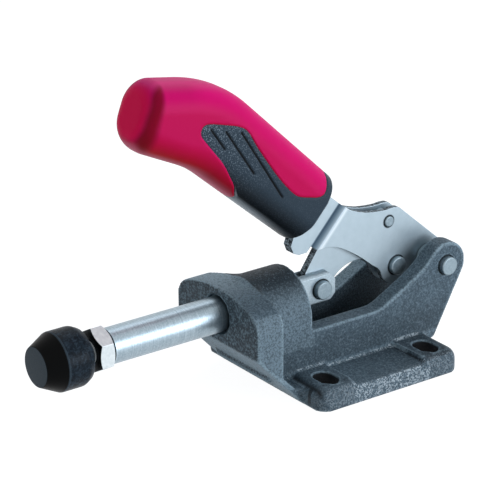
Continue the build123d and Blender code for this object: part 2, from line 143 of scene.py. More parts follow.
sweep_mesh.from_pydata([(-REACH, -REACH, 0), (REACH, -REACH, 0), (REACH, REACH, 0), (-REACH, REACH, 0)], [],
                       [(0, 1, 2, 3)])
sweep_mesh.materials.append(sweep_paint)
sweep = bpy.data.objects.new("sweep", sweep_mesh)
bpy.context.scene.collection.objects.link(sweep)


# ---- housing -----------------------------------------------------------------------------------------------
# The base, collar and cheeks are one grey-iron sand casting. Its edges come out of the mould slightly round,
# and the blue-grey paint follows the sand's grain, so that it glitters in specks.
def finish(name, **values):
    """A new material with one Principled shader whose inputs get the values, its tree and the shader."""
    material = bpy.data.materials.new(name)
    material.use_nodes = True
    shader = material.node_tree.nodes["Principled BSDF"]
    for key, value in values.items():
        shader.inputs[key.replace("_", " ")].default_value = value
    return material, material.node_tree, shader


def joined(node, slack=1e-6):
    """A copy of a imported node's mesh with its loose triangles sewn together and its flat faces made whole."""
    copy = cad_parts[node].data.copy()
    copy.materials.clear()
    work = bmesh.new()
    work.from_mesh(copy)
    bmesh.ops.remove_doubles(work, verts=work.verts, dist=slack)
    bmesh.ops.dissolve_limit(work, angle_limit=radians(0.5), verts=work.verts, edges=work.edges)
    work.to_mesh(copy)
    work.free()
    return copy


def settle(mesh, name, body, nodes, material):
    """Puts a mesh in the scene as a piece that rides on a body and stands for the nodes."""
    mesh.name = name
    mesh.materials.append(material)
    made = bpy.data.objects.new(name, mesh)
    bpy.context.scene.collection.objects.link(made)
    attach(made, body)
    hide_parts(*nodes)
    return made


def baked(made):
    """Applies the modifiers of a piece."""
    bpy.context.view_layer.update()
    result = bpy.data.meshes.new_from_object(made.evaluated_get(bpy.context.evaluated_depsgraph_get()))
    made.modifiers.clear()
    made.data = result


paint, tree, shader = finish("blue_grey_paint_on_sand_cast_iron", Roughness=0.6, Specular_IOR_Level=0.25)
at = add(tree, "ShaderNodeTexCoord").outputs["Object"]
# sand grain, drawn about three times as coarse as it is so that it shows; slow changes of tone; worn patches
GRAIN, DRIFT, PATCH = 0.0009, 0.018, 0.004
grain = add(tree, "ShaderNodeTexNoise", {"Vector": at, "Scale": 1 / GRAIN, "Detail": 3.0, "Roughness": 0.7})
drift = add(tree, "ShaderNodeTexNoise", {"Vector": at, "Scale": 1 / DRIFT, "Detail": 3.0})
tone = add(tree, "ShaderNodeMix", {"Factor": drift.outputs["Fac"], 6: linear("4A5C68"), 7: linear("647A87")},
           data_type="RGBA")
# painted shade darkens the sheltered faces, and painted light makes the outer edges and the lit faces pale
for name, colour in (("painted_shade", "071620"), ("edge", "A5BECB")):
    worn = add(tree, "ShaderNodeAttribute", attribute_name=name)
    tone = add(tree, "ShaderNodeMix", {"Factor": worn.outputs["Fac"], 6: tone.outputs[2], 7: linear(colour)},
               data_type="RGBA")
# between the grains the paint lies dark in the pits, and it is worn pale on their crowns
pits = add(tree, "ShaderNodeMapRange",
           {"Value": grain.outputs["Fac"], "From Min": 0.38, "From Max": 0.54, "To Min": 0.6, "To Max": 0.0})
tone = add(tree, "ShaderNodeMix", {"Factor": pits.outputs[0], 6: tone.outputs[2], 7: linear("222D34")},
           data_type="RGBA")
crowns = add(tree, "ShaderNodeMapRange",
             {"Value": grain.outputs["Fac"], "From Min": 0.54, "From Max": 0.72, "To Max": 0.5})
tone = add(tree, "ShaderNodeMix", {"Factor": crowns.outputs[0], 6: tone.outputs[2], 7: linear("8FA2AE")},
           data_type="RGBA")
# the collar's front face was left as it came from the sand, with coarser grains and dark holes between them
raw = add(tree, "ShaderNodeAttribute", attribute_name="raw_front")
coarse = add(tree, "ShaderNodeTexNoise",
             {"Vector": at, "Scale": 0.95 / GRAIN, "Detail": 2.0, "Roughness": 0.6})
for low, high, colour in ((0.55, 0.42, "061118"), (0.55, 0.68, "8AA1AC")):
    level = add(tree, "ShaderNodeMapRange",
                {"Value": coarse.outputs["Fac"], "From Min": low, "From Max": high})
    level = add(tree, "ShaderNodeMath", {0: level.outputs[0], 1: raw.outputs["Fac"]}, operation="MULTIPLY")
    tone = add(tree, "ShaderNodeMix", {"Factor": level.outputs[0], 6: tone.outputs[2], 7: linear(colour)},
               data_type="RGBA")
# on the plate's rim and along the foot of the cheeks single grains are rubbed bright, in patches
wear = add(tree, "ShaderNodeAttribute", attribute_name="rubbed")
patch = add(tree, "ShaderNodeTexNoise", {"Vector": at, "Scale": 1 / PATCH, "Detail": 2.0})
patch = add(tree, "ShaderNodeMapRange", {"Value": patch.outputs["Fac"], "From Min": 0.32, "From Max": 0.5})
speck = add(tree, "ShaderNodeTexNoise", {"Vector": at, "Scale": 1.3 / GRAIN, "Detail": 1.0})
speck = add(tree, "ShaderNodeMapRange", {"Value": speck.outputs["Fac"], "From Min": 0.47, "From Max": 0.58})
speck = add(tree, "ShaderNodeMath", {0: speck.outputs[0], 1: patch.outputs[0]}, operation="MULTIPLY")
speck = add(tree, "ShaderNodeMath", {0: speck.outputs[0], 1: wear.outputs["Fac"]}, operation="MULTIPLY")
tone = add(tree, "ShaderNodeMix", {"Factor": speck.outputs[0], 6: tone.outputs[2], 7: linear("BBC9D1")},
           data_type="RGBA")
# painted shade darkens the slots, the grooves and the gap between the cheeks
oil_and_shade = add(tree, "ShaderNodeAttribute", attribute_name="recess_shade")
tone = add(tree, "ShaderNodeMix", {"Factor": oil_and_shade.outputs["Fac"], 6: tone.outputs[2], 7: linear("070D13")},
           data_type="RGBA")


def shade_round_pin(tree, at, centre, radius, tone, colour):
    """Paints shade round a pin: darkens a tone to 0.4 mm past the radius from centre (Y, Z), fading out by 0.9
    mm.
    """
    flat = add(tree, "ShaderNodeVectorMath", {0: at, 1: (0, 1, 1)}, operation="MULTIPLY")
    away = add(tree, "ShaderNodeVectorMath", {0: flat.outputs[0], 1: (0, *centre)}, operation="DISTANCE")
    near = add(tree, "ShaderNodeMapRange",
               {"Value": away.outputs["Value"], "From Min": radius + 0.0004, "From Max": radius + 0.0009,
                "To Min": 1.0, "To Max": 0.0})
    return add(tree, "ShaderNodeMix", {"Factor": near.outputs[0], 6: tone.outputs[2], 7: linear(colour)},
               data_type="RGBA")


PIN_R, RIVET_R = 0.00425, 0.0025
# painted shade round the pivot pin
tone = shade_round_pin(tree, at, (0.050, 0.040), PIN_R, tone, "1A2227")
tree.links.new(tone.outputs[2], shader.inputs["Base Color"])
bump = add(tree, "ShaderNodeBump", {"Height": grain.outputs["Fac"], "Strength": 0.9, "Distance": 0.0004})
tree.links.new(bump.outputs[0], shader.inputs["Normal"])

VOXEL = 0.0007
casting = settle(joined("housing"), "housing_casting", "housing", ["housing"], paint)
remesh = casting.modifiers.new("sand_mould", "REMESH")
remesh.mode, remesh.voxel_size, remesh.use_smooth_shade = "VOXEL", VOXEL, True
smooth = casting.modifiers.new("round_edges", "SMOOTH")
smooth.factor, smooth.iterations = 0.5, 3
baked(casting)
mesh = casting.data
spots, normals = np.empty(len(mesh.vertices) * 3), np.empty(len(mesh.vertices) * 3)
mesh.vertices.foreach_get("co", spots)
mesh.vertex_normals.foreach_get("vector", normals)
spots, normals = spots.reshape(-1, 3), normals.reshape(-1, 3)
pairs = np.empty(len(mesh.edges) * 2, dtype=np.int64)
mesh.edges.foreach_get("vertices", pairs)
start, end = pairs.reshape(-1, 2).T
count = np.bincount(start, minlength=len(spots)) + np.bincount(end, minlength=len(spots))


def neighbours(values):
    """The mean of the values at each vertex's neighbours."""
    total = np.bincount(start, values[end], len(values)) + np.bincount(end, values[start], len(values))
    return total / count


def ramp(values, low, high):
    """0 below low, 1 above high and between them a soft step, three times the square less twice the cube."""
    t = np.clip((values - low) / (high - low), 0, 1)
    return t * t * (3 - 2 * t)


# how far each vertex stands out of its neighbours: positive on outer edges, negative in corners
bulge = sum((spots[:, k] - neighbours(spots[:, k])) * normals[:, k] for k in range(3)) / VOXEL
for _ in range(3):
    bulge = (bulge + neighbours(bulge)) / 2
x, y, z = spots.T
nx, ny, nz = normals.T
off_x, off_y = np.abs(x), np.abs(y)
SLOT_AT, SLOT_HALF = (0.032, 0.028), (0.00675, 0.0045)
BASE_HALF, BASE_T = (0.044, 0.039), 0.0105
GAP_HALF, GAP_START, GAP_END, GAP_TOP = 0.0108, -0.0255, 0.055, 0.040
COLLAR_BACK, BARREL_END = -0.049, -0.0245
SEAT_START = 0.021                      # the slots' seats run from here to the plate's ends
CHEEK_OUT = 0.021                       # the cheeks' outer faces lie within this distance of the middle
CHEEK_FOOT = 0.0225                     # the cheeks meet the plate within this distance of the middle
ROUND_START = 0.0405                    # the plate's rounded rim begins here
SLACK = 0.0004                          # the remeshed faces lie within this distance of the true ones

in_slot = ((np.abs(off_x - SLOT_AT[0]) < SLOT_HALF[0] + SLACK)
           & (np.abs(off_y - SLOT_AT[1]) < SLOT_HALF[1] + SLACK) & (z < BASE_T - 0.0006))
in_gap = ((off_x < GAP_HALF + SLACK) & (y > GAP_START) & (y < GAP_END)
          & (z > BASE_T - 0.001) & (z < GAP_TOP))
on_plate, near_plate = z < BASE_T + 0.001, np.abs(z - BASE_T)
behind_collar = (y > COLLAR_BACK - 0.0005) & (y < BARREL_END)
on_collar = (y < COLLAR_BACK) & (z > BASE_T)

# bright grains: all round the rim, most of them on its upright faces beside the lower floor
beyond = np.maximum(off_x - BASE_HALF[0], off_y - BASE_HALF[1])
rim = np.clip((beyond + 0.0045) / 0.003, 0, 1) * on_plate * np.where(off_x > ROUND_START, 1.0, 0.55)
rim *= np.where(np.abs(nz) > 0.85, 0.2, 1.0) * np.where(off_y < SEAT_START, 1.0, 0.35)
foot = (off_x < CHEEK_FOOT) & (z > BASE_T - 0.004) & (z < BASE_T + 0.003) & (off_y < BASE_HALF[1])
corner = np.clip((-bulge - 0.04) / 0.05, 0, 1) * (z < BASE_T + 0.006) * (z > 0.004)

# painted shade: the barrel's top, the cheeks' foot, and the plate's rear, seats, ends and corners
painted_shade = 0.85 * ramp(nz, 0.35, 0.85) * behind_collar * (z > GAP_TOP)
painted_shade += 0.40 * ramp(-z, -0.030, -0.014) * (np.abs(nx) > 0.8) * (z > BASE_T) * (off_x < CHEEK_OUT)
painted_shade += 0.55 * ramp(y, -0.030, 0.030) * (nz > 0.7) * on_plate
painted_shade += 0.22 * (nz > 0.9) * (near_plate < 0.0006) * (y < 0)
painted_shade += 0.25 * (off_y > SEAT_START) * (off_x > 0.037) * on_plate
painted_shade += 0.6 * corner * ~foot * (off_x > 0.02)

# in front of each front slot a narrow groove parts its seat from the collar's foot, and turns down outside
GROOVE_Y, GROOVE_HALF, GROOVE_DEEP = -0.0372, 0.0009, 0.0006
GROOVE_TURN = 0.0345                    # distance from the middle at which it turns down
groove = np.exp(-((y - GROOVE_Y) / GROOVE_HALF) ** 2)
groove = groove * ramp(off_x, 0.0195, 0.0215) * ramp(-off_x, -0.0425, -0.0400)
down = (np.abs(off_x - GROOVE_TURN) < 0.0012) * (y < -0.0375) * ramp(z, 0.0, 0.003) * 0.9
groove = np.maximum(groove * (z > 0.006), down) * on_plate
spots[:, 2] -= GROOVE_DEEP * groove * (z > 0.006)
mesh.vertices.foreach_set("co", spots.ravel())
near_plate = np.abs(z - BASE_T)         # measured again, because the groove has moved some vertices

# painted light: pale tones on outer edges, the plate's inner edges, the collar's arch, its sides and the
# slope under it, the front edge of the plate there, the sides of the barrel and the inside edge of the left
# cheek
painted_light = 0.8 * ramp(bulge, 0.03, 0.13) * ~in_gap * (z > BASE_T + 0.002)
painted_light += 0.5 * ramp(bulge, 0.02, 0.08) * (near_plate < 0.002) * (off_x > 0.022) * (off_x < ROUND_START)
painted_light += 1.00 * ramp(nz, 0.2, 0.7) * ramp(-x, -0.022, 0.010) * on_collar * (z > GAP_TOP)
painted_light += 0.30 * (np.abs(nx) > 0.7) * on_collar * (off_x > 0.027) + 0.9 * (ny < -0.4) * (nz < -0.2)
painted_light += 0.55 * (ny < -0.6) * (z < BASE_T) * (off_x < 0.030)
painted_light += 0.22 * ramp(np.abs(nx), 0.4, 0.9) * behind_collar * (z > 0.02)
painted_light += 0.6 * (nz > 0.4) * (y > -0.015) * (y < 0.03) * (z > 0.025) * (x < 0)
# painted shade fills the slots, the gap between the cheeks and the grooves
for name, values in (("recess_shade", np.maximum.reduce([in_slot * 1.0, in_gap * 0.30, groove * 0.92])),
                     ("edge", painted_light), ("painted_shade", painted_shade), ("raw_front", 0.7 * (ny < -0.8) * on_collar),
                     ("rubbed", np.maximum(rim * 0.85, corner * foot))):
    values = np.clip(values, 0, 1).astype(np.float32)
    mesh.attributes.new(name, "FLOAT", "POINT").data.foreach_set("value", values)


# ---- plunger -----------------------------------------------------------------------------------------------
# A 16 mm bar of case-hardened steel, ground and polished. Grinding leaves very fine rings round it, which
# pull the light out a little along the bar. The fork for the link is milled at its rear end and stays plain.
def eased(node, body, material, width, turn=35.0):
    """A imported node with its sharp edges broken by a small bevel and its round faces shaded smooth."""
    mesh = joined(node)
    work = bmesh.new()
    work.from_mesh(mesh)
    for side in work.edges:
        side.smooth = len(side.link_faces) == 2 and side.calc_face_angle(0) < radians(turn)
    for face in work.faces:
        face.smooth = True
    work.to_mesh(mesh)
    work.free()
    made = settle(mesh, node + "_eased", body, [node], material)
    bevel = made.modifiers.new("broken_edge", "BEVEL")
    bevel.width, bevel.segments, bevel.limit_method, bevel.angle_limit = width, 2, "ANGLE", radians(turn)
    bevel.use_clamp_overlap, bevel.harden_normals = True, True


ground, tree, shader = finish("ground_and_polished_steel", Metallic=1.0, Roughness=0.38)
coords = add(tree, "ShaderNodeTexCoord")
at = coords.outputs["Object"]
RING = 0.0005                           # spacing of the grinding rings, drawn far coarser than they are
DUST = 1300.0                           # specks of dust to the metre, one every 0.8 mm
RING_STRETCH = 40.0                     # rings run right round: almost no change across the bar
stretch = add(tree, "ShaderNodeMapping", {"Vector": at, "Scale": (RING_STRETCH, 1 / RING, RING_STRETCH)})
rings = add(tree, "ShaderNodeTexNoise", {"Vector": stretch.outputs[0], "Scale": 1.0, "Detail": 2.0})
spot = add(tree, "ShaderNodeSeparateXYZ", {0: at})
bar = add(tree, "ShaderNodeMapRange",
          {"Value": spot.outputs["Y"], "From Min": -0.027, "From Max": -0.025, "To Min": 1.0, "To Max": 0.0})
rings = add(tree, "ShaderNodeMix", {"Factor": bar.outputs[0], 2: 0.62, 3: rings.outputs["Fac"]})
dust = add(tree, "ShaderNodeTexNoise", {"Vector": at, "Scale": DUST, "Detail": 2.0})
mottle = add(tree, "ShaderNodeMath", {0: dust.outputs["Fac"], 1: rings.outputs[0]}, operation="ADD")
mottle = add(tree, "ShaderNodeMapRange", {"Value": mottle.outputs[0], "From Min": 0.4, "From Max": 1.5})
tone = add(tree, "ShaderNodeMix", {"Factor": mottle.outputs[0], 6: linear("798C99"), 7: linear("B9C9D2")},
           data_type="RGBA")
# painted shade darkens the front chamfer towards the nut, the bar where it enters the collar, and round the pin
nose = add(tree, "ShaderNodeSeparateXYZ", {0: coords.outputs["Normal"]})
nose = add(tree, "ShaderNodeMapRange",
           {"Value": nose.outputs["Y"], "From Min": -0.6, "From Max": -0.3, "To Min": 1.0, "To Max": 0.0})
tone = add(tree, "ShaderNodeMix", {"Factor": nose.outputs[0], 6: tone.outputs[2], 7: linear("20292F")},
           data_type="RGBA")
collar_shade = add(tree, "ShaderNodeMapRange",
             {"Value": spot.outputs["Y"], "From Min": -0.0685, "From Max": -0.0635, "To Max": 0.5},
             interpolation_type="SMOOTHSTEP")
collar_shade = add(tree, "ShaderNodeMath", {0: collar_shade.outputs[0], 1: bar.outputs[0]}, operation="MULTIPLY")
tone = add(tree, "ShaderNodeMix", {"Factor": collar_shade.outputs[0], 6: tone.outputs[2], 7: linear("161E24")},
           data_type="RGBA")
tone = shade_round_pin(tree, at, (-0.010, 0.0385), PIN_R, tone, "141A1E")
tree.links.new(tone.outputs[2], shader.inputs["Base Color"])
bump = add(tree, "ShaderNodeBump", {"Height": rings.outputs[0], "Strength": 0.12, "Distance": 0.00002})
tree.links.new(bump.outputs[0], shader.inputs["Normal"])
eased("push_rod", "rod", ground, 0.0002)

# ---- pins and side collars ---------------------------------------------------------------------------------
# Hardened pins, turned and left bare, pressed or riveted into their pieces. Oil dulls them with soft grey
# blots. The two distance collars on the main pivot and the rivet's sleeve are cut from the same bar.
turned, tree, shader = finish("oiled_turned_pin_steel", Metallic=1.0)
at = add(tree, "ShaderNodeTexCoord").outputs["Object"]
BLOTS = 900.0                           # blots of oil to the metre, one every 1.1 mm
oil_and_shade = add(tree, "ShaderNodeTexNoise", {"Vector": at, "Scale": BLOTS, "Detail": 4.0, "Roughness": 0.7})
tone = add(tree, "ShaderNodeMix", {"Factor": oil_and_shade.outputs["Fac"], 6: linear("63747E"), 7: linear("A1B2BB")},
           data_type="RGBA")
tree.links.new(tone.outputs[2], shader.inputs["Base Color"])
rough = add(tree, "ShaderNodeMapRange", {"Value": oil_and_shade.outputs["Fac"], "To Min": 0.35, "To Max": 0.6})
tree.links.new(rough.outputs[0], shader.inputs["Roughness"])
for node, body in (("rod_pin", "rod"), ("link_pin", "lever"), ("pivot_pin", "housing"),
                   ("side_collar_right", "housing"), ("side_collar_left", "housing"),
                   ("rivet_sleeve", "lever"), ("lever_rivet", "lever"), ("tang_rivets", "lever")):
    eased(node, body, turned, 0.0002)

# ---- link, lever plates and pad disc -----------------------------------------------------------------------
# Blanked from steel sheet and zinc plated. The broad faces are smooth and pale blue-white. The blanked edges
# are dark and torn, because the punch shears them and the plating hardly brightens them.
zinc, tree, shader = finish("blanked_zinc_plated_sheet", Metallic=0.85)
coords = add(tree, "ShaderNodeTexCoord")
at = coords.outputs["Object"]
side = add(tree, "ShaderNodeSeparateXYZ", {0: coords.outputs["Normal"]})
flat = add(tree, "ShaderNodeMath", {0: side.outputs["X"]}, operation="ABSOLUTE")
cut = add(tree, "ShaderNodeMapRange",
          {"Value": flat.outputs[0], "From Min": 0.25, "From Max": 0.7, "To Min": 1.0, "To Max": 0.0})
CLOUDS = 260.0                          # clouds in the plating to the metre, one every 4 mm
cloud = add(tree, "ShaderNodeTexNoise", {"Vector": at, "Scale": CLOUDS, "Detail": 4.0, "Roughness": 0.6})
plated = add(tree, "ShaderNodeMix",
             {"Factor": cloud.outputs["Fac"], 6: linear("9EAFB9"), 7: linear("AFBFC8")},
             data_type="RGBA")
TEAR = 0.0006                           # spacing of the tears along a cut edge, drawn coarser than they are
TEAR_ACROSS = 500.0                     # changes of a tear to the metre across the sheet, one every 2 mm
across_sheet = add(tree, "ShaderNodeMapping", {"Vector": at, "Scale": (TEAR_ACROSS, 1 / TEAR, 1 / TEAR)})
tears = add(tree, "ShaderNodeTexNoise", {"Vector": across_sheet.outputs[0], "Scale": 1.0, "Detail": 2.0})
tear = add(tree, "ShaderNodeMapRange", {"Value": tears.outputs["Fac"], "From Min": 0.42, "From Max": 0.62})
torn = add(tree, "ShaderNodeMix", {"Factor": tear.outputs[0], 6: linear("1F282F"), 7: linear("7F8E98")},
           data_type="RGBA")
tone = add(tree, "ShaderNodeMix", {"Factor": cut.outputs[0], 6: plated.outputs[2], 7: torn.outputs[2]},
           data_type="RGBA")
# the plates' sharp bend: painted shade on the tang's side and a painted highlight on the other
BEND_AT, UP_TANG = (0, -0.0120, 0.0574), (0, -0.7373, 0.6755)
bent = add(tree, "ShaderNodeVectorMath", {0: at, 1: BEND_AT}, operation="SUBTRACT")
bent = add(tree, "ShaderNodeVectorMath", {0: bent.outputs[0], 1: UP_TANG}, operation="DOT_PRODUCT")
bent = add(tree, "ShaderNodeMapRange",
           {"Value": bent.outputs["Value"], "From Min": -0.005, "From Max": 0.003})
bend_shade_and_highlight = add(tree, "ShaderNodeValToRGB", {"Fac": bent.outputs[0]})
stops = ((0.30, "C9D6DE", 0.0), (0.48, "D5E0E6", 0.9), (0.62, "A9BAC6", 1.0), (0.76, "6E8495", 1.0),
         (0.90, "3C5266", 1.0), (0.96, "5C707F", 0.8), (1.0, "A9BAC6", 0.0))
line_up = bend_shade_and_highlight.color_ramp.elements      # has a first and a last stop already, and the others go between them
for k, (height, colour, alpha) in enumerate(stops):
    stop = line_up[0] if k == 0 else line_up[-1] if k == len(stops) - 1 else line_up.new(height)
    stop.position, stop.color = height, (*linear(colour)[:3], alpha)
tone = add(tree, "ShaderNodeMix",
           {"Factor": bend_shade_and_highlight.outputs["Alpha"], 6: tone.outputs[2], 7: bend_shade_and_highlight.outputs["Color"]}, data_type="RGBA")
# painted shade round the link pin and the rivet
for centre, radius in (((0.0326, 0.03957), PIN_R), ((0.0279, 0.0617), RIVET_R)):
    tone = shade_round_pin(tree, at, centre, radius, tone, "1B2328")
tree.links.new(tone.outputs[2], shader.inputs["Base Color"])
rough = add(tree, "ShaderNodeMapRange", {"Value": cut.outputs[0], "To Min": 0.42, "To Max": 0.62})
tree.links.new(rough.outputs[0], shader.inputs["Roughness"])
ridge = add(tree, "ShaderNodeMath", {0: tears.outputs["Fac"], 1: cut.outputs[0]}, operation="MULTIPLY")
bump = add(tree, "ShaderNodeBump", {"Height": ridge.outputs[0], "Strength": 0.8, "Distance": 0.0002})
tree.links.new(bump.outputs[0], shader.inputs["Normal"])
for node, body, width in (("link_plate", "link", 0.0003), ("lever_plate_right", "lever", 0.0003),
                          ("lever_plate_left", "lever", 0.0003), ("pad_plate", "thrust_screw", 0.0002)):
    eased(node, body, zinc, width)

# ---- nut and thrust screw ----------------------------------------------------------------------------------
# Fasteners with bright zinc plating, pale and faintly mottled. The M12 screw has a rolled thread, 1.75 mm to
# the turn, over its whole length.
bright, tree, shader = finish("bright_zinc_plated_fastener_steel", Metallic=0.9)
coords = add(tree, "ShaderNodeTexCoord")
at = coords.outputs["Object"]
MOTTLES = 700.0                         # mottles to the metre, one every 1.4 mm
cloud = add(tree, "ShaderNodeTexNoise", {"Vector": at, "Scale": MOTTLES, "Detail": 3.0})
tone = add(tree, "ShaderNodeMix", {"Factor": cloud.outputs["Fac"], 6: linear("B9C5CA"), 7: linear("E3E9EB")},
           data_type="RGBA")
# painted shade and a painted reflection of the rubber darken the faces towards the pad
front = add(tree, "ShaderNodeSeparateXYZ", {0: coords.outputs["Normal"]})
front = add(tree, "ShaderNodeMapRange",
            {"Value": front.outputs["Y"], "From Min": -0.6, "From Max": -0.35, "To Min": 1.0, "To Max": 0.0})
tone = add(tree, "ShaderNodeMix", {"Factor": front.outputs[0], 6: tone.outputs[2], 7: linear("12181C")},
           data_type="RGBA")
tree.links.new(tone.outputs[2], shader.inputs["Base Color"])
rough = add(tree, "ShaderNodeMapRange", {"Value": cloud.outputs["Fac"], "To Min": 0.3, "To Max": 0.5})
tree.links.new(rough.outputs[0], shader.inputs["Roughness"])
eased("lock_nut", "nut", bright, 0.00025)


def sheet_of_points(points):
    """A closed mesh from a grid of points: rows along it, columns round it and a face over each end."""
    rows, columns = points.shape[:2]
    i, j = np.meshgrid(np.arange(rows - 1), np.arange(columns), indexing="ij")
    k = (j + 1) % columns
    quads = [i * columns + j, i * columns + k, (i + 1) * columns + k, (i + 1) * columns + j]
    faces = np.stack(quads, -1).reshape(-1, 4).tolist()
    faces += [list(range(columns))[::-1], list(range((rows - 1) * columns, rows * columns))]
    mesh = bpy.data.meshes.new("grid")
    mesh.from_pydata(points.reshape(-1, 3).tolist(), [], faces)
    work = bmesh.new()
    work.from_mesh(mesh)
    bmesh.ops.recalc_face_normals(work, faces=work.faces)
    for face in work.faces:
        face.smooth = len(face.verts) == 4
    work.to_mesh(mesh)
    work.free()
    return mesh


AXIS_Z = 0.0385
PITCH, MAJOR, DEPTH = 0.00175, 0.006, 0.00095
ROUND_STEPS, TURN_STEPS = 48, 12        # points round the screw, and rows to one turn of the thread
RUN_OUT = 0.8                           # turns over which the thread fades at each end
low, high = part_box("pad_stud")
turns = np.arange(0, (high[1] - low[1]) / PITCH + 1e-9, 1 / TURN_STEPS)
angle = np.linspace(0, 2 * pi, ROUND_STEPS, endpoint=False)
y = low[1] + turns[:, None] * PITCH + 0 * angle
phase = (turns[:, None] + angle / (2 * pi)) % 1.0
# the flank rises and falls in a straight line, with the crest and the root cut flat
radius = MAJOR - DEPTH * np.clip(np.abs(phase - 0.5) * 2 * 1.25 - 0.125, 0, 1)
fade = np.clip(np.minimum(turns, turns[-1] - turns) / RUN_OUT, 0, 1)[:, None]
radius = np.minimum(radius, MAJOR - DEPTH * (1 - fade))
thread = np.stack([radius * np.cos(angle), y, AXIS_Z + radius * np.sin(angle)], -1)
settle(sheet_of_points(thread), "thrust_screw_thread", "thrust_screw", ["pad_stud"], bright)

# ---- pressure pad ------------------------------------------------------------------------------------------
# A rubber cap moulded on a steel disc: a bevelled nose with a flat face, a straight body and a round back. It
# is matt black with a cloudy bloom, soft at its edges, and a little paler with dust on the flat face.
rubber, tree, shader = finish("moulded_black_rubber", Roughness=0.35, Specular_IOR_Level=0.06)
coords = add(tree, "ShaderNodeTexCoord")
at = coords.outputs["Object"]
nose = add(tree, "ShaderNodeSeparateXYZ", {0: coords.outputs["Normal"]})
face = add(tree, "ShaderNodeMapRange",
           {"Value": nose.outputs["Y"], "From Min": -0.98, "From Max": -0.85, "To Min": 1.0, "To Max": 0.0})
bevel = add(tree, "ShaderNodeMapRange",
            {"Value": nose.outputs["Y"], "From Min": -0.4, "From Max": -0.2, "To Min": 1.0, "To Max": 0.0})
MARKS = 700.0                           # marks in the bloom to the metre, one every 1.4 mm
marks = add(tree, "ShaderNodeTexNoise",
            {"Vector": at, "Scale": MARKS, "Detail": 4.0, "Roughness": 0.75, "Distortion": 0.8})
bloom = add(tree, "ShaderNodeMapRange", {"Value": marks.outputs["Fac"], "From Min": 0.45, "From Max": 0.75})
tone = add(tree, "ShaderNodeMix", {"Factor": bloom.outputs[0], 6: linear("151D25"), 7: linear("3D4D5A")},
           data_type="RGBA")
# painted shade: the bevelled nose is darkened almost to black
tone = add(tree, "ShaderNodeMix", {"Factor": bevel.outputs[0], 6: tone.outputs[2], 7: linear("030405")},
           data_type="RGBA")
# a painted highlight runs pale round the rim between nose and body
HIGHLIGHT_AT, HIGHLIGHT_HALF = -0.1467, 0.00045
along = add(tree, "ShaderNodeSeparateXYZ", {0: at})
edge_highlight = add(tree, "ShaderNodeMath", {0: along.outputs["Y"], 1: HIGHLIGHT_AT, 2: HIGHLIGHT_HALF}, operation="COMPARE")
edge_highlight = add(tree, "ShaderNodeMath", {0: edge_highlight.outputs[0], 1: 0.45}, operation="MULTIPLY")
tone = add(tree, "ShaderNodeMix", {"Factor": edge_highlight.outputs[0], 6: tone.outputs[2], 7: linear("4F5E69")},
           data_type="RGBA")
tone = add(tree, "ShaderNodeMix", {"Factor": face.outputs[0], 6: tone.outputs[2], 7: linear("3A4750")},
           data_type="RGBA")
tree.links.new(tone.outputs[2], shader.inputs["Base Color"])
bump = add(tree, "ShaderNodeBump", {"Height": marks.outputs["Fac"], "Strength": 0.35, "Distance": 0.0002})
tree.links.new(bump.outputs[0], shader.inputs["Normal"])


def rounded(profile, radii, steps=8):
    """A polyline with each inner corner replaced by a quadratic curve between the two points at that distance
    from the corner along its sides, with the corner itself as the curve's control point."""
    out = [np.array(profile[0])]
    for a, b, c, r in zip(profile, profile[1:], profile[2:], radii):
        a, b, c = map(np.array, (a, b, c))
        p, q = b + (a - b) / np.linalg.norm(a - b) * r, b + (c - b) / np.linalg.norm(c - b) * r
        t = np.linspace(0, 1, steps)[:, None]
        out.extend((1 - t) ** 2 * p + 2 * t * (1 - t) * b + t ** 2 * q)
    out.append(np.array(profile[-1]))
    return np.array(out)


# points of the profile: (place along the axis, radius), from the middle of the face to the hole behind
PAD_R, FACE_R, NECK_R, HOLE_R = 0.0132, 0.0089, 0.0084, 0.0062
low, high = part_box("thrust_pad")
front, back = low[1], high[1]
profile = rounded([(front, 0.0004), (front, FACE_R), (front + 0.0087, PAD_R), (back - 0.0053, PAD_R),
                   (back - 0.0020, 0.0115), (back - 0.0015, NECK_R), (back, 0.0082), (back, HOLE_R)],
                  [0.0004, 0.0006, 0.0010, 0.0008, 0.0004, 0.0003])
angle = np.linspace(0, 2 * pi, 96, endpoint=False)
pad = np.stack([profile[:, 1:] * np.cos(angle), profile[:, :1] + 0 * angle,
                AXIS_Z + profile[:, 1:] * np.sin(angle)], -1)
settle(sheet_of_points(pad), "rubber_pressure_pad", "thrust_screw", ["thrust_pad"], rubber)

# ---- hand grip ---------------------------------------------------------------------------------------------
# Moulded in two shots: a black soft-touch core on the steel tang, wrapped by a smooth red shell. The core
# shows as a tongue with three finger grooves, and a fine parting groove runs where the two plastics meet.
COLLAR_Y = -0.063                       # front face of the collar, from which the side view is measured
MOUTH = np.array([(59.9, 50.5), (37.6, 25.9)]) / 1000      # upper and lower corner: (along, height)
BEND = np.array([(0.2, 107.9), (-15.8, 71.7)]) / 1000
TIP = np.array([(-37.1, 114.6), (-48.0, 87.2)]) / 1000
BEND_REACH = (0.0191, 0.0078)           # how far each ridge's curve starts from its corner
WIDTH, EDGE, TIP_ROUND, MOUTH_BEVEL = 0.027, 0.0123, 0.008, 0.0032
ALONG, MOUTH_ROWS, TIP_ROWS, ROUND = 270, 8, 26, 300       # rows and columns of the skin

ridges = [rounded([MOUTH[k], BEND[k], TIP[k]], [BEND_REACH[k]], 24) for k in (0, 1)]
steps = np.linalg.norm(np.diff((ridges[0] + ridges[1]) / 2, axis=0), axis=1)
reach = np.concatenate([[0], np.cumsum(steps)])
where = np.concatenate([np.linspace(0, MOUTH_BEVEL, MOUTH_ROWS, endpoint=False),
                        np.linspace(MOUTH_BEVEL, reach[-1] - TIP_ROUND, ALONG, endpoint=False),
                        reach[-1] - TIP_ROUND * (1 - np.sin(np.linspace(0, pi / 2, TIP_ROWS)))])
upper, lower = (np.stack([np.interp(where, reach, ridge[:, k]) for k in (0, 1)], -1) for ridge in ridges)
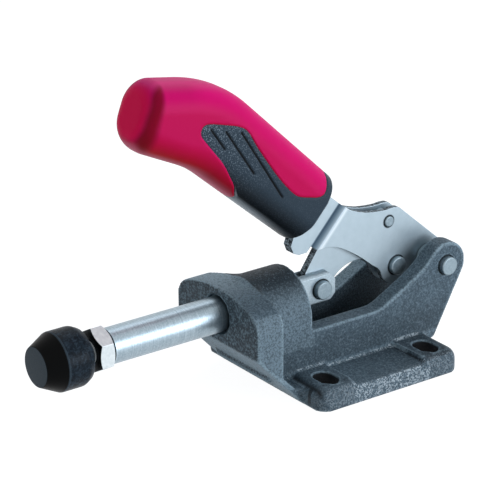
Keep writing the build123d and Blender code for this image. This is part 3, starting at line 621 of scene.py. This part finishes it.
# the rings shrink towards the tip by a quarter circle, and towards the mouth by a straight bevel
to_tip = np.clip(reach[-1] - where, 0, TIP_ROUND)
inset = TIP_ROUND - np.sqrt(TIP_ROUND ** 2 - (TIP_ROUND - to_tip) ** 2)
inset += np.clip(MOUTH_BEVEL - where, 0, None)
tall = np.linalg.norm(upper - lower, axis=1)
rise = (upper - lower) / tall[:, None]
turn = np.linspace(0, 2 * pi, ROUND, endpoint=False)


def ring(width, tall, corner):
    """Points of a rounded rectangle at even steps of its own length, from the middle of its right side:
    straight stretches and quarter circles laid end to end."""
    w, t = width / 2 - corner, tall / 2 - corner
    arc = corner * pi / 2
    lengths = np.array([t, arc, 2 * w, arc, 2 * t, arc, 2 * w, arc, t])
    ends = np.concatenate([[0], np.cumsum(lengths)])
    s = turn / (2 * pi) * ends[-1]
    k = np.clip(np.searchsorted(ends, s, side="right") - 1, 0, 8)
    u = (s - ends[k]) / np.maximum(lengths[k], 1e-9)
    a, right_side = u * pi / 2, width / 2 + 0 * u
    x = np.choose(k, [right_side, w + corner * np.cos(a), w - 2 * w * u, -w - corner * np.sin(a), -right_side,
                      -w - corner * np.cos(a), -w + 2 * w * u, w + corner * np.sin(a), right_side])
    top = tall / 2 + 0 * u
    z = np.choose(k, [t * u, t + corner * np.sin(a), top, t + corner * np.cos(a), t - 2 * t * u,
                      -t - corner * np.sin(a), -top, -t - corner * np.cos(a), -t + t * u])
    return np.stack([x, z], -1)


rings = np.stack([ring(WIDTH - 2 * i, t - 2 * i, EDGE - i) for t, i in zip(tall, inset)])
middle = (upper + lower) / 2
skin = np.stack([rings[:, :, 0], COLLAR_Y + middle[:, :1] + rings[:, :, 1] * rise[:, :1],
                 AXIS_Z + middle[:, 1:] + rings[:, :, 1] * rise[:, 1:]], -1)


def outward(points):
    """Unit normals of a closed grid, from the cross product of its steps along and round."""
    along = np.gradient(points, axis=0)
    about = np.roll(points, -1, axis=1) - np.roll(points, 1, axis=1)
    normal = np.cross(about, along)
    return normal / np.maximum(np.linalg.norm(normal, axis=2, keepdims=True), 1e-12)


def nearness(points, path):
    """Distance in the side view from each point to a polyline, the shortest to any straight part."""
    flat = points[..., 1:].reshape(-1, 1, 2)
    a, step = path[:-1], path[1:] - path[:-1]
    t = np.clip(((flat - a) * step).sum(-1) / (step ** 2).sum(-1), 0, 1)
    return np.linalg.norm(flat - a - t[..., None] * step, axis=-1).min(1).reshape(points.shape[:2])


def spline(knots, rows, where):
    """A natural cubic through rows at the knots, read at where: the second derivatives come from one linear
    system in which each stretch meets the next with the same slope."""
    n = len(knots)
    h = np.diff(knots)
    system = np.eye(n)
    target = np.zeros((n, rows.shape[1]))
    for k in range(1, n - 1):
        system[k, k - 1:k + 2] = h[k - 1] / 6, (h[k - 1] + h[k]) / 3, h[k] / 6
        target[k] = (rows[k + 1] - rows[k]) / h[k] - (rows[k] - rows[k - 1]) / h[k - 1]
    second = np.linalg.solve(system, target)
    k = np.clip(np.searchsorted(knots, where) - 1, 0, n - 2)
    a, b = ((knots[k + 1] - where) / h[k])[:, None], ((where - knots[k]) / h[k])[:, None]
    return (a * rows[k] + b * rows[k + 1]
            + ((a ** 3 - a) * second[k] + (b ** 3 - b) * second[k + 1]) * (h[k] ** 2)[:, None] / 6)


# outline of the black part in the side view, from the upper ridge round the tongue to the lower ridge
TONGUE = np.array([
    (59.0, 58.5), (54.5, 55.4), (51.2, 51.6), (48.5, 48.5), (45.5, 47.8), (41.0, 48.7), (36.5, 49.8),
    (33.4, 51.2), (30.6, 53.6), (24.3, 60.8), (16.2, 72.3), (10.6, 81.1), (6.7, 87.0), (2.5, 89.4),
    (-4.3, 91.5), (-11.4, 93.4), (-15.0, 93.2), (-16.5, 90.6), (-14.4, 86.3), (-9.4, 79.9), (-4.5, 73.5),
    (-0.6, 66.8), (2.4, 61.5), (4.2, 57.2), (5.2, 54.6), (4.2, 52.8), (-3.0, 50.5)]) / 1000
ORIGIN = (COLLAR_Y, AXIS_Z)
steps = np.concatenate([[0], np.cumsum(np.linalg.norm(np.diff(TONGUE, axis=0), axis=1))])
line = spline(steps, TONGUE, np.linspace(0, steps[-1], 160)) + ORIGIN
FINGERS = [((-11.4, 91.0), (-4.5, 81.0)), ((-3.6, 88.3), (10.5, 66.7)), ((4.3, 86.3), (25.5, 52.5))]
PARTING, PARTING_DEPTH = 0.0004, 0.00035
FINGER, FINGER_DEPTH = 0.0005, 0.0008
SIDE_ON = 0.008                         # the grooves fade out nearer to the middle of the grip than this
inward = PARTING_DEPTH * np.exp(-(nearness(skin, line) / PARTING) ** 2)
fingers = sum(np.exp(-(nearness(skin, np.array(ends) / 1000 + ORIGIN) / FINGER) ** 4) for ends in FINGERS)
inward += FINGER_DEPTH * fingers
side_on = np.clip(np.abs(skin[..., 0]) / SIDE_ON, 0, 1)
skin = skin - outward(skin) * (inward * side_on)[..., None]

# the red plastic has a satin mould finish with soft highlights; painted light makes it pinker facing up and
# deep red facing down
UNDER = (0, -0.651, -0.759)             # direction of the underside
END = (0, -0.9290, 0.3700)              # direction of the end face
red, tree, shader = finish("red_satin_polypropylene", Roughness=0.5, Specular_IOR_Level=0.11)
coords = add(tree, "ShaderNodeTexCoord")
at, normal = coords.outputs["Object"], coords.outputs["Normal"]
facing = add(tree, "ShaderNodeSeparateXYZ", {0: normal})
painted_sky_light = add(tree, "ShaderNodeMapRange", {"Value": facing.outputs["Z"], "From Min": -0.7, "From Max": 0.7})
tone = add(tree, "ShaderNodeMix", {"Factor": painted_sky_light.outputs[0], 6: linear("B80018"), 7: linear("EA0078")},
           data_type="RGBA")
# a painted pink sheen lies on the top ridge and along the underside
below = add(tree, "ShaderNodeVectorMath", {0: normal, 1: UNDER}, operation="DOT_PRODUCT")
for value, low, most, colour in ((facing.outputs["Z"], 0.70, 0.5, "FF5A9C"),
                                 (below.outputs["Value"], 0.72, 0.55, "F58AA8")):
    sheen = add(tree, "ShaderNodeMapRange",
                {"Value": value, "From Min": low, "From Max": 1.0, "To Max": most},
                interpolation_type="SMOOTHSTEP")
    tone = add(tree, "ShaderNodeMix", {"Factor": sheen.outputs[0], 6: tone.outputs[2], 7: linear(colour)},
               data_type="RGBA")
# painted shade deepens the red in a band where the sides turn to the end face, and painted light brightens the
# end face
toward = add(tree, "ShaderNodeVectorMath", {0: normal, 1: END}, operation="DOT_PRODUCT").outputs["Value"]
flank = add(tree, "ShaderNodeMath", {0: facing.outputs["X"]}, operation="ABSOLUTE")
flank = add(tree, "ShaderNodeMapRange",
            {"Value": flank.outputs[0], "From Min": 0.2, "From Max": 0.55, "To Max": 0.85},
            interpolation_type="SMOOTHSTEP")
rising = add(tree, "ShaderNodeMapRange", {"Value": toward, "From Min": 0.0, "From Max": 0.5},
             interpolation_type="SMOOTHSTEP")
end_face_light = add(tree, "ShaderNodeMapRange", {"Value": toward, "From Min": 0.72, "From Max": 1.0},
              interpolation_type="SMOOTHSTEP")
turn_shade = add(tree, "ShaderNodeMath", {0: rising.outputs[0], 1: end_face_light.outputs[0]}, operation="SUBTRACT")
turn_shade = add(tree, "ShaderNodeMath", {0: turn_shade.outputs[0], 1: flank.outputs[0]}, operation="MULTIPLY")
tone = add(tree, "ShaderNodeMix", {"Factor": end_face_light.outputs[0], 6: tone.outputs[2], 7: linear("FA0A58")},
           data_type="RGBA")
tone = add(tree, "ShaderNodeMix", {"Factor": turn_shade.outputs[0], 6: tone.outputs[2], 7: linear("84000E")},
           data_type="RGBA")
tree.links.new(tone.outputs[2], shader.inputs["Base Color"])
FLOW = 420.0                            # flow marks to the metre, one every 2.4 mm
flow = add(tree, "ShaderNodeTexNoise", {"Vector": at, "Scale": FLOW, "Detail": 3.0})
bump = add(tree, "ShaderNodeBump", {"Height": flow.outputs["Fac"], "Strength": 0.12, "Distance": 0.0002})
tree.links.new(bump.outputs[0], shader.inputs["Normal"])

# the black plastic is dull and finely grained, darkest low on the grip; a painted pale reflection lies on its
# underside, and painted glints speckle the tongue
soft, tree, shader = finish("black_soft_touch_elastomer", Roughness=0.42, Specular_IOR_Level=0.12)
coords = add(tree, "ShaderNodeTexCoord")
at = coords.outputs["Object"]
spot = add(tree, "ShaderNodeSeparateXYZ", {0: at})
low_down = add(tree, "ShaderNodeVectorMath", {0: at, 1: UNDER}, operation="DOT_PRODUCT")
low_down = add(tree, "ShaderNodeMapRange",
               {"Value": low_down.outputs["Value"], "From Min": -0.0450, "From Max": -0.0335},
               interpolation_type="SMOOTHSTEP")
tone = add(tree, "ShaderNodeMix", {"Factor": low_down.outputs[0], 6: linear("2E3D49"), 7: linear("04070C")},
           data_type="RGBA")
underside_reflection = add(tree, "ShaderNodeVectorMath", {0: coords.outputs["Normal"], 1: UNDER}, operation="DOT_PRODUCT")
underside_reflection = add(tree, "ShaderNodeMapRange",
            {"Value": underside_reflection.outputs["Value"], "From Min": 0.80, "From Max": 1.0, "To Max": 0.9},
            interpolation_type="SMOOTHSTEP")
mouth = add(tree, "ShaderNodeMapRange",
            {"Value": spot.outputs["Z"], "From Min": 0.068, "From Max": 0.084, "To Min": 0.15})
underside_reflection = add(tree, "ShaderNodeMath", {0: underside_reflection.outputs[0], 1: mouth.outputs[0]}, operation="MULTIPLY")
tone = add(tree, "ShaderNodeMix", {"Factor": underside_reflection.outputs[0], 6: tone.outputs[2], 7: linear("B4BFC6")},
           data_type="RGBA")
SPARKS = 1800.0                         # grains of the mould's texture to the metre, drawn coarse at 0.6 mm
spark = add(tree, "ShaderNodeTexNoise", {"Vector": at, "Scale": SPARKS, "Detail": 2.0, "Roughness": 0.6})
glints = add(tree, "ShaderNodeMapRange", {"Value": spark.outputs["Fac"], "From Min": 0.52, "From Max": 0.68})
tongue = add(tree, "ShaderNodeMapRange",
             {"Value": spot.outputs["Z"], "From Min": 0.095, "From Max": 0.130,
              "To Min": 0.06, "To Max": 0.75})
glints = add(tree, "ShaderNodeMath", {0: glints.outputs[0], 1: tongue.outputs[0]}, operation="MULTIPLY")
tone = add(tree, "ShaderNodeMix", {"Factor": glints.outputs[0], 6: tone.outputs[2], 7: linear("8FA2B0")},
           data_type="RGBA")
# painted shade darkens the finger grooves
groove_shade = add(tree, "ShaderNodeAttribute", attribute_name="groove")
tone = add(tree, "ShaderNodeMix", {"Factor": groove_shade.outputs["Fac"], 6: tone.outputs[2], 7: linear("05070A")},
           data_type="RGBA")
tree.links.new(tone.outputs[2], shader.inputs["Base Color"])
bump = add(tree, "ShaderNodeBump", {"Height": spark.outputs["Fac"], "Strength": 0.4, "Distance": 0.00025})
tree.links.new(bump.outputs[0], shader.inputs["Normal"])

# both shots start as the whole skin, and a prism on the tongue's outline cuts it in two
AROUND_TANG = np.array([(30, 15), (75, 15), (85, 60)]) / 1000       # closes the outline well outside the grip
PRISM_HALF = 0.03
outline = np.concatenate([line, AROUND_TANG + ORIGIN])
prism = np.stack([np.stack([np.full(len(outline), x), outline[:, 0], outline[:, 1]], -1)
                  for x in (-PRISM_HALF, PRISM_HALF)])
cutter = bpy.data.objects.new("cutter", sheet_of_points(prism))
bpy.context.scene.collection.objects.link(cutter)
for name, node, material, slot, act in (("red_grip_shell", "grip_shell", red, "grip_red", "DIFFERENCE"),
                                        ("black_grip_core", "grip_core", soft, "grip_black", "INTERSECT")):
    shape = sheet_of_points(skin)
    depths = fingers.ravel().astype(np.float32)
    shape.attributes.new("groove", "FLOAT", "POINT").data.foreach_set("value", depths)
    made = settle(shape, name, "lever", [node], material)
    split = made.modifiers.new("parting", "BOOLEAN")
    split.operation, split.object, split.solver = act, cutter, "MANIFOLD"
    baked(made)
bpy.data.objects.remove(cutter)
